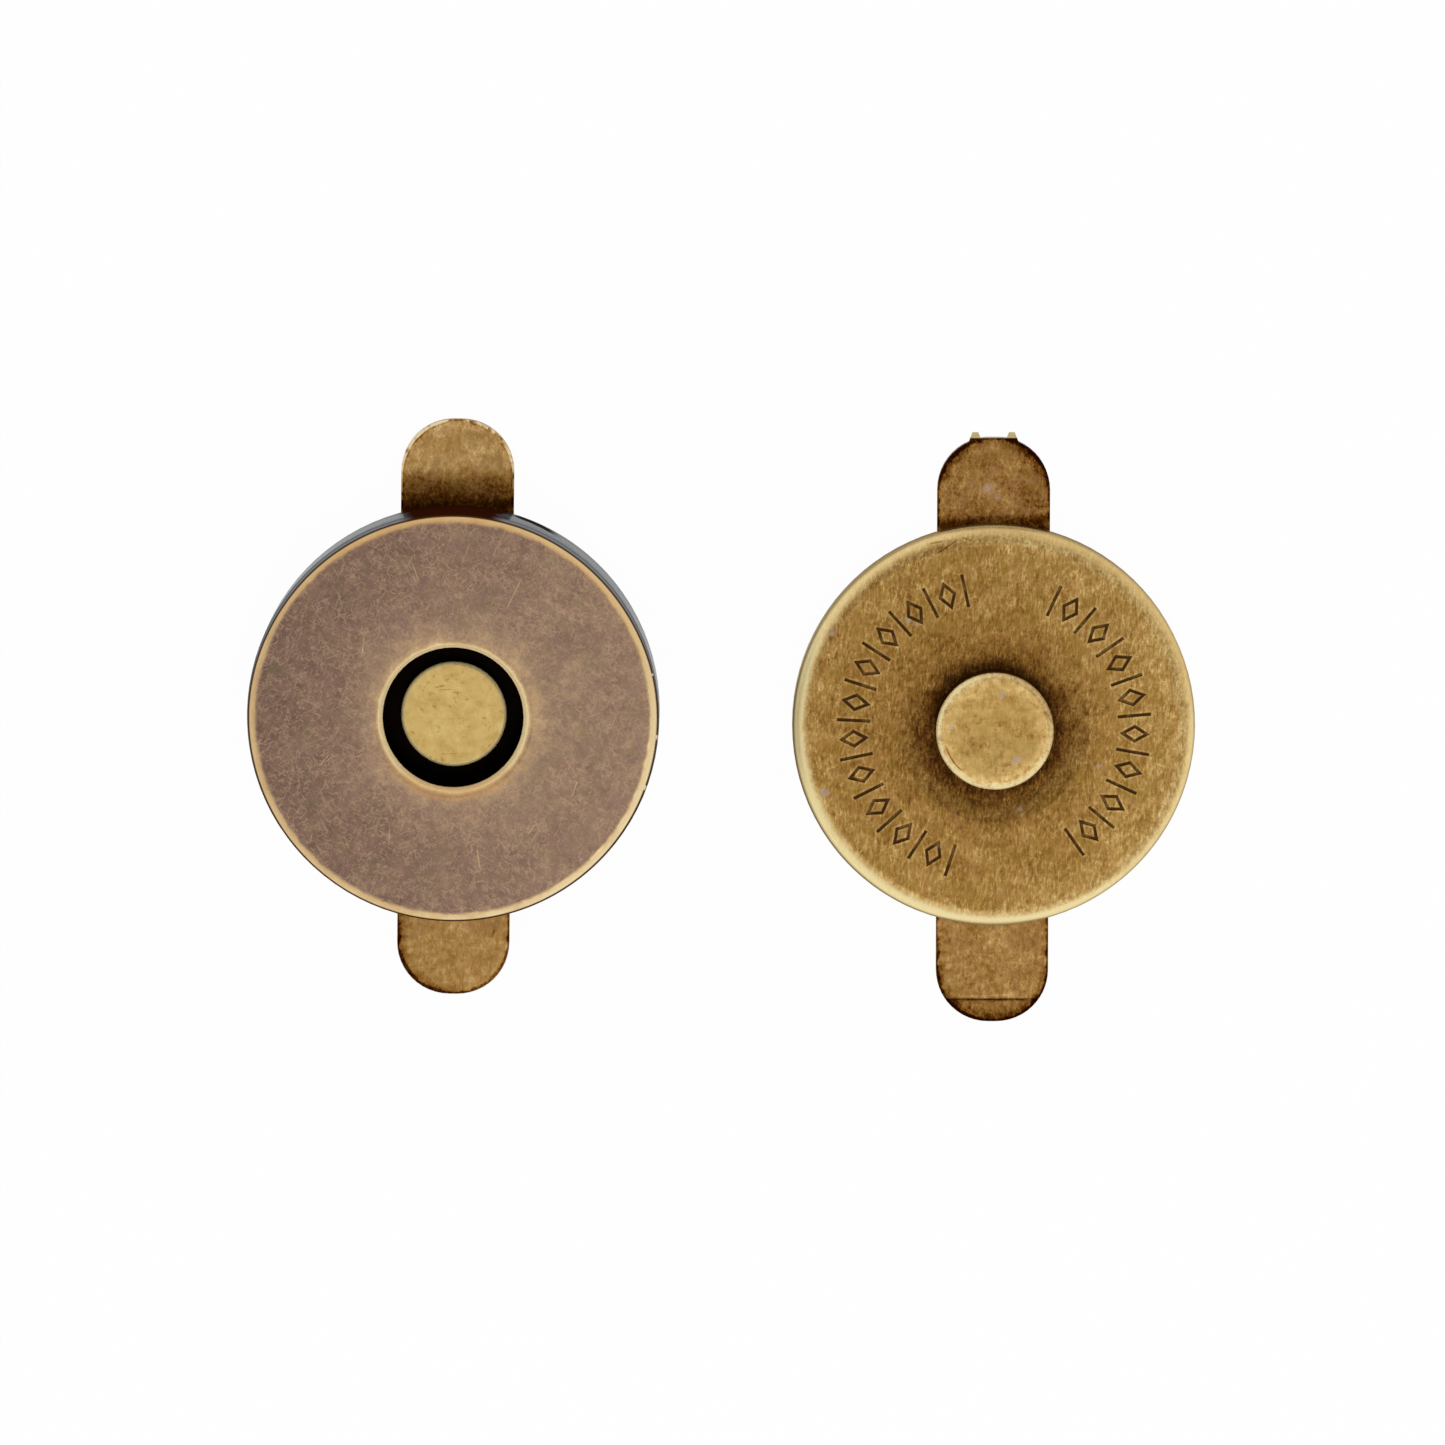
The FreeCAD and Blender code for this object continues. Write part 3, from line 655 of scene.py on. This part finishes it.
def disc_finish():
    """Golden-brown brass with a fine upright grain, dark round the stud.

    The dark round the stud is the dimple's patina with painted shade over it.
    """
    f = Finish("disc_patina", STUD_AXIS)
    wander = f.swing(f.grain(0.9, 4.0), 0.9)
    hair = f.drawn_out(92, 0.45, 0.10, 2.0)
    slant = f.drawn_out(68, 0.4, 0.12, 2.0, 4.0)
    fine = f.grain(0.13, 1.0)
    mottle = f.grain(0.32, 3.0, offset=2.0)
    cloud = f.grain(1.0, 4.0, offset=4.0)
    light = f.most(f.scratches((88, 99, 72), 0.5, 0.06, 0.64, 13.0),
                   f.hairlines(0.4, 0.028, 0.6, 23.0))
    # The worn rim is widest at the lower left, where it also has a painted highlight
    border = f.add(f.radius, f.times(wander, 0.15))
    border = f.subtract(border, f.times(f.least(f.add(f.x, f.y), 3.0), 0.018))
    rim = f.fade(border, DISC_RADIUS - 0.65, DISC_RADIUS - 0.17)
    shadow = f.fade(f.add(f.radius, f.times(wander, 0.7)), STUD_RADIUS + 1.17, STUD_RADIUS + 0.07)
    # The stamped lines are on the face alone, and have a raised, paler edge
    edge = stamped(f)
    face = f.fade(f.z, DISC_TOP - 0.35, DISC_TOP - 0.25)
    raised = f.times(f.band(edge, 0.0, 0.03, 0.05, 0.12), face)
    right = f.fade(f.add(f.x, f.times(f.y, 0.6)), 1.0, 6.0)
    upper_right = f.times(right, f.fade(f.y, -1.0, 3.0))
    grainy = f.subtract(1.0, f.times(rim, 0.75))
    noises = (
        (hair, 0.32),
        (slant, 0.28),
        (fine, 0.36),
        (mottle, 0.32),
        (cloud, 0.32),
    )
    grain = f.tone(0.0, noises, ((light, 0.12),))
    tone = f.tone(0.500, (), (
        (f.times(grain, grainy), 1.0),
        # Painted light: a little lighter toward +X
        (f.x, 0.004),
        # Round the stud: the dimple's dark patina and painted shade over it, less shade on the +Y
        # side
        (shadow, -0.27),
        (f.times(shadow, f.fade(f.y, 0.5, 2.6)), 0.09),
        (f.fade(f.radius, 5.8, 3.2), -0.09),
        (f.fade(f.radius, 6.0, 8.0), 0.05),
        (f.fade(f.radius, 7.95, 8.25), 0.05),
        # On the rim: painted highlight on the right and at the lower left, painted shade at the
        # upper right
        (f.times(f.band(f.radius, 8.05, 8.20, 8.35, 8.45), right), 0.07),
        (f.times(f.fade(f.radius, 8.45, 8.65), upper_right), -0.10),
        (rim, 0.31),
        (f.times(rim, f.fade(f.add(f.x, f.y), 4.0, -8.0)), 0.10),
        (f.times(rim, f.fade(f.x, -7.0, -8.6)), 0.06),
        (f.strokes(DISC_NICKS), -0.22),
        (raised, 0.08),
        (f.fade(f.z, DISC_TOP - 0.70, DISC_TOP - 0.95), -0.16),
    ))
    colour = f.ramp(tone, BRASS_TONES)
    colour = f.patches(colour, f.band(f.radius, 3.2, 4.4, 7.8, 8.4), (
        (DISC_GREEN, 0.9, 0.40),
        (DISC_PINK, 0.8, 0.35),
    ))
    lilac = f.blots(DISC_LILAC, f.grain(0.3, 3.0, offset=17.0))
    colour = f.mix(f.times(lilac, 0.6), colour, LILAC)
    # The stamped lines are dark, and fainter here and there
    worn_away = f.fade(f.grain(0.9, 2.0, offset=29.0), 0.62, 0.48)
    depth = f.add(f.times(worn_away, 0.3), 0.66)
    lines = f.times(f.fade(edge, 0.02, -0.02), face)
    colour = f.mix(f.times(lines, depth), colour, MARK_DARK)
    # The outside of the bend has a painted dark reflection, from a little further in on the
    # left and a little further out at the top
    edge_place = f.subtract(f.radius, f.times(f.x, 0.004))
    edge_place = f.subtract(edge_place, f.times(f.fade(f.y, 0.0, 6.0), 0.06))
    bend = f.fade(f.z, DISC_TOP - 0.85, DISC_TOP - 0.55)
    dark = f.times(f.fade(edge_place, DISC_RADIUS - 0.17, DISC_RADIUS + 0.01), bend)
    colour = f.mix(f.times(dark, 0.85), colour, EDGE_SHADE)
    rough = f.subtract(f.add(f.times(fine, 0.25), 0.34), f.times(rim, 0.08))
    relief = f.add(f.times(mottle, 0.010), f.times(hair, 0.010))
    matt = f.most(f.times(rim, 0.4), f.fade(f.radius, DISC_RADIUS - 0.11, DISC_RADIUS - 0.02))
    f.without_gloss()
    f.shader.inputs["Specular Tint"].default_value = EDGE_TINT
    return f.done(colour, rough, relief, f.times(matt, bend))


def stud_finish():
    """Pale brass top with a worn bright edge; the side has painted shade, the tail head plain.

    The top's lower part and the edge at the lower left carry a painted highlight.
    """
    f = Finish("stud_brass", STUD_AXIS)
    wander = f.swing(f.grain(0.7, 4.0), 0.7)
    fine = f.grain(0.13, 1.0)
    hair = f.drawn_out(92, 0.42, 0.10, 2.0, 6.0)
    specks = f.fade(f.grain(0.3, 3.0, offset=3.0), 0.58, 0.66)
    side = f.band(f.z, 1.0, 1.2, STUD_TOP - 0.32, STUD_TOP - 0.17)
    ring = f.fade(f.add(f.radius, f.times(wander, 0.2)), STUD_RADIUS - 0.38, STUD_RADIUS - 0.12)
    ring = f.times(ring, f.subtract(1.0, side))
    # One curved scratch follows the edge at the lower left
    scratch = f.times(f.band(f.radius, 2.18, 2.23, 2.25, 2.30),
                      f.band(f.y, -1.75, -1.6, -0.9, -0.5))
    scratch = f.times(scratch, f.fade(f.x, -1.0, -1.3))
    noises = (
        (fine, 0.26),
        (hair, 0.22),
        (f.grain(0.35, 3.0), 0.38),
        (f.grain(0.9, 3.0, offset=7.0), 0.26),
    )
    tone = f.tone(0.605, noises, (
        (specks, -0.10),
        (f.fade(f.add(f.radius, wander), 1.5, 2.15), 0.10),
        # Painted highlight: lighter toward -Y, and on the edge at the lower left
        (f.fade(f.add(f.y, wander), -0.2, -2.0), 0.05),
        (f.times(ring, f.fade(f.add(f.x, f.y), 3.6, 0.5)), 0.22),
        (ring, 0.06),
        (scratch, -0.28),
    ))
    colour = f.ramp(tone, BRASS_TONES)
    olive = f.times(f.fade(f.grain(0.8, 4.0, offset=27.0), 0.42, 0.58), f.fade(f.radius, 2.3, 2.0))
    colour = f.mix(f.times(olive, 0.45), colour, OLIVE)
    lilac = f.blots(STUD_LILAC, f.grain(0.3, 3.0, offset=17.0))
    colour = f.mix(f.times(lilac, 0.5), colour, LILAC)
    # The side has painted shade
    colour = f.mix(side, colour, STUD_SIDE_SHADE)
    return f.done(colour, f.add(f.times(fine, 0.22), 0.32), f.times(fine, 0.008),
                  f.times(ring, 0.6))


class LegFinish(Finish):
    """Patina of a strip: mottled top, uneven dark outline, plain brown sides."""

    def __init__(self, name, axis, turn, reach_up, reach_down, contrast):
        super().__init__(name, axis, turn)
        self.contrast = contrast
        self.fine = self.grain(0.13, 1.0)
        self.mottle = self.grain(0.28, 3.0)
        self.slow = self.grain(0.9, offset=33.0)
        self.upper = self.math("GREATER_THAN", self.y, 0.0)
        # How far along the strip a spot is, unevenly, for the shadows that cross it
        self.along = self.add(self.y, self.swing(self.mottle, 0.5))
        # Distance from the outline, which ends in an arc at each tip
        half = STRIP_WIDTH / 2
        straight_up = reach_up - half
        straight_down = reach_down - half
        straight = self.times(self.upper, straight_up - straight_down)
        straight = self.add(straight, straight_down)
        beyond = self.most(self.subtract(self.size(self.y), straight), 0.0)
        self.inset = self.subtract(half, self.length(self.x, beyond))
        self.ragged = self.add(self.inset, self.swing(self.mottle, 0.24))
        # The folded legs lie on the table; their sides and their inner part are plain
        self.top = self.fade(self.z, 0.38, 0.45)
        self.face = self.times(self.fade(self.size(self.y), 8.4, 8.8), self.top)
        self.marks = self.most(self.scratches((86, 62, 118), 0.5, 0.06, 0.64, 5.0),
                               self.hairlines(0.35, 0.03, 0.6, 8.0))

    def patina(self, base, bare, broad_outline, shifts):
        """Colour of the strip's face about a tone, with shifts of its own.

        Bare is where the arris is worn pale, and broad_outline where the dark outline is
        broad, 0 to 1.
        """
        noises = (
            (self.fine, 0.34),
            (self.mottle, 0.40),
            (self.drawn_out(88, 0.4, 0.11, 2.0, 9.0), 0.20),
            (self.grain(0.8, 4.0, offset=21.0), 0.45),
        )
        grain = self.tone(0.0, noises, ((self.marks, 0.11),))
        arris = self.times(self.times(self.fade(self.inset, 0.10, 0.05), bare), self.face)
        broad = self.add(self.swing(self.slow, 0.24), 0.14)
        line = self.times(self.fade(self.subtract(self.ragged, broad), 0.0, -0.10), self.face)
        line = self.times(line, self.subtract(1.0, arris))
        soft = self.times(self.times(self.fade(self.ragged, 0.55, 0.10), broad_outline), self.face)
        tone = self.tone(base, (), (
            (grain, self.contrast),
            (line, -0.34),
            (soft, -0.20),
            (arris, 0.26),
            (self.subtract(1.0, self.top), -0.10),
        ) + shifts)
        plain = self.times(self.fade(self.inset, 0.15, 0.45), self.fade(tone, 0.28, 0.42))
        return self.patches(self.ramp(tone, LEG_TONES), plain, (
            (LEG_GREEN, 0.8, 0.40),
            (LEG_PINK, 0.7, 0.35),
        ))

    def finished(self, colour):
        """Feed the shader this colour, with the roughness and relief of every strip."""
        rough = self.add(self.times(self.fine, 0.25), 0.37)
        relief = self.add(self.times(self.fine, 0.006), self.times(self.mottle, 0.010))
        return self.done(colour, rough, relief)


def socket_leg_finish():
    """Bright ochre legs, the upper one with a painted shadow of the case at its foot."""
    f = LegFinish("socket_leg_patina", SOCKET_AXIS, SOCKET_TURN, SOCKET_REACH, SOCKET_REACH, 0.90)
    bare = f.times(f.upper, f.fade(f.slow, 0.36, 0.50))
    lower_left = f.fade(f.add(f.x, f.times(f.y, 0.5)), -5.0, -6.6)
    broad_outline = f.times(lower_left, f.subtract(1.0, f.upper))
    return f.finished(f.patina(0.612, bare, broad_outline, (
        (f.upper, 0.075),
        (f.strokes(SOCKET_LEG_DENTS), -0.16),
        # Painted shadow of the case on the upper leg's foot
        (f.times(f.fade(f.along, 10.78, 9.85), f.upper), -0.32),
        (f.times(f.fade(f.along, 9.60, 8.95), f.upper), -0.20),
    )))


def stud_leg_finish():
    """Brown legs; the upper one has a painted shadow of the disc at its foot, and the lower
    one a dark tip beyond its crease.
    """
    f = LegFinish("stud_leg_patina", STUD_AXIS, 0.0, STUD_REACH_UP, STUD_REACH_DOWN, 1.15)
    crease = CREASE_INSET - STUD_REACH_DOWN
    broad_outline = f.fade(f.size(f.y), 10.2, 11.2)
    colour = f.patina(0.555, 0.0, broad_outline, (
        (f.upper, -0.06),
        (f.times(f.fade(f.x, 0.5, 1.8), f.upper), -0.06),
        # Painted shadow of the disc on the upper leg's foot
        (f.times(f.fade(f.along, 9.40, 8.85), f.upper), -0.22),
        (f.fade(f.y, crease + 0.08, crease - 0.07), -0.12),
        (f.strokes(STUD_LEG_DENTS), 0.10),
        (f.times(f.blots(LEG_CROWN, f.mottle), f.upper), 0.14),
        (f.stroke(0.0, crease, 0, 3.6, 0.09), -0.26),
    ))
    colour = f.mix(f.times(f.blots(LEG_LILAC, f.mottle), 0.4), colour, LILAC)
    burrs = f.fade(f.y, STUD_REACH_UP - 0.04, STUD_REACH_UP + 0.02)
    colour = f.mix(f.times(burrs, f.vary(f.fine, 1.2)), colour, BURR)
    return f.finished(colour)


def plate_finish():
    """Zinc-plated steel, black with painted shade near the hole where it shows past the pole."""
    f = Finish("plate_steel", SOCKET_AXIS)
    fine = f.grain(0.3, 4.0)
    colour = f.shade(STEEL, f.vary(fine, 0.5))
    # Painted shade, black, on the top near the hole
    top = f.fade(f.z, 1.6, 1.9)
    colour = f.mix(f.times(top, f.fade(f.radius, 5.0, 4.0)), colour, RECESS)
    return f.done(colour, f.add(f.times(fine, 0.25), 0.3), f.times(fine, 0.01))


def ferrite_finish():
    """Dull black sintered ferrite."""
    f = Finish("ferrite", SOCKET_AXIS)
    fine = f.grain(0.25, 4.0)
    f.shader.inputs["Metallic"].default_value = 0.0
    return f.done(f.shade(FERRITE, f.vary(fine, 0.8)), f.add(f.times(fine, 0.2), 0.6),
                  f.times(fine, 0.02))


FINISHES = {
    "socket_case": case_finish,
    "ring_magnet": ferrite_finish,
    "back_plate": plate_finish,
    "pole_rivet": pole_finish,
    "socket_legs": socket_leg_finish,
    "stud_disc": disc_finish,
    "stud_rivet": stud_finish,
    "stud_legs": stud_leg_finish,
}
for node, finish in FINISHES.items():
    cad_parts[node].material_slots[0].material = finish()


# The floor's size and colour, and how much of it glows where the camera or metal sees it
FLOOR_SIZE = 4.0
FLOOR_WHITE = (0.95, 0.95, 0.95, 1.0)
FLOOR_GLOW = 0.97

# The world's brightness at two heights, given as the sine of the angle up
WORLD_WHITE = (1.0, 1.0, 1.0, 1.0)
HORIZON = 1.0
HORIZON_HEIGHT = 0.1
ZENITH = 0.60
ZENITH_HEIGHT = 1.0

# The lamp: where it stands, how wide and how strong it is
KEY_FROM = Vector((0.035, -0.135, 0.48))
KEY_SIZE = 0.14
KEY_WATTS = 0.22


def make_floor():
    """Pale floor that the camera, and metal, see as almost white, with its shadow."""
    bpy.ops.mesh.primitive_plane_add(size=FLOOR_SIZE, location=(0, 0, 0))
    floor = bpy.context.object
    floor.name = "floor"
    paper = bpy.data.materials.new("paper")
    paper.use_nodes = True
    n = Nodes(paper.node_tree)
    n.tree.nodes.clear()
    output = n.node("ShaderNodeOutputMaterial")
    matte = n.node("ShaderNodeBsdfDiffuse")
    n.feed(matte.inputs["Color"], FLOOR_WHITE)
    glow = n.node("ShaderNodeEmission")
    rays = n.node("ShaderNodeLightPath").outputs
    seen = n.most(rays["Is Camera Ray"], rays["Is Glossy Ray"])
    seen = n.most(seen, rays["Is Transmission Ray"])
    both = n.node("ShaderNodeMixShader")
    n.feed(both.inputs[0], n.times(seen, FLOOR_GLOW))
    n.feed(both.inputs[1], matte.outputs[0])
    n.feed(both.inputs[2], glow.outputs[0])
    n.feed(output.inputs["Surface"], both.outputs[0])
    floor.data.materials.append(paper)


def make_world():
    """Soft white studio: brightest at the horizon, a little darker overhead."""
    world = bpy.context.scene.world or bpy.data.worlds.new("world")
    bpy.context.scene.world = world
    world.use_nodes = True
    n = Nodes(world.node_tree)
    background = n.tree.nodes["Background"]
    n.feed(background.inputs["Color"], WORLD_WHITE)
    parts = n.node("ShaderNodeSeparateXYZ")
    n.feed(parts.inputs["Vector"], n.node("ShaderNodeTexCoord").outputs["Generated"])
    overhead = n.fade(parts.outputs["Z"], HORIZON_HEIGHT, ZENITH_HEIGHT)
    brightness = n.add(n.times(overhead, ZENITH - HORIZON), HORIZON)
    n.feed(background.inputs["Strength"], brightness)


def make_key():
    """Soft lamp high on the -Y side, a little to the right."""
    light = bpy.data.lights.new("key", "AREA")
    light.shape = "DISK"
    light.size = KEY_SIZE
    light.energy = KEY_WATTS
    key = bpy.data.objects.new("key", light)
    bpy.context.scene.collection.objects.link(key)
    key.location = KEY_FROM
    key.rotation_euler = KEY_FROM.to_track_quat("Z", "Y").to_euler()


make_floor()
make_world()
make_key()

bpy.context.scene.view_settings.view_transform = "Standard"
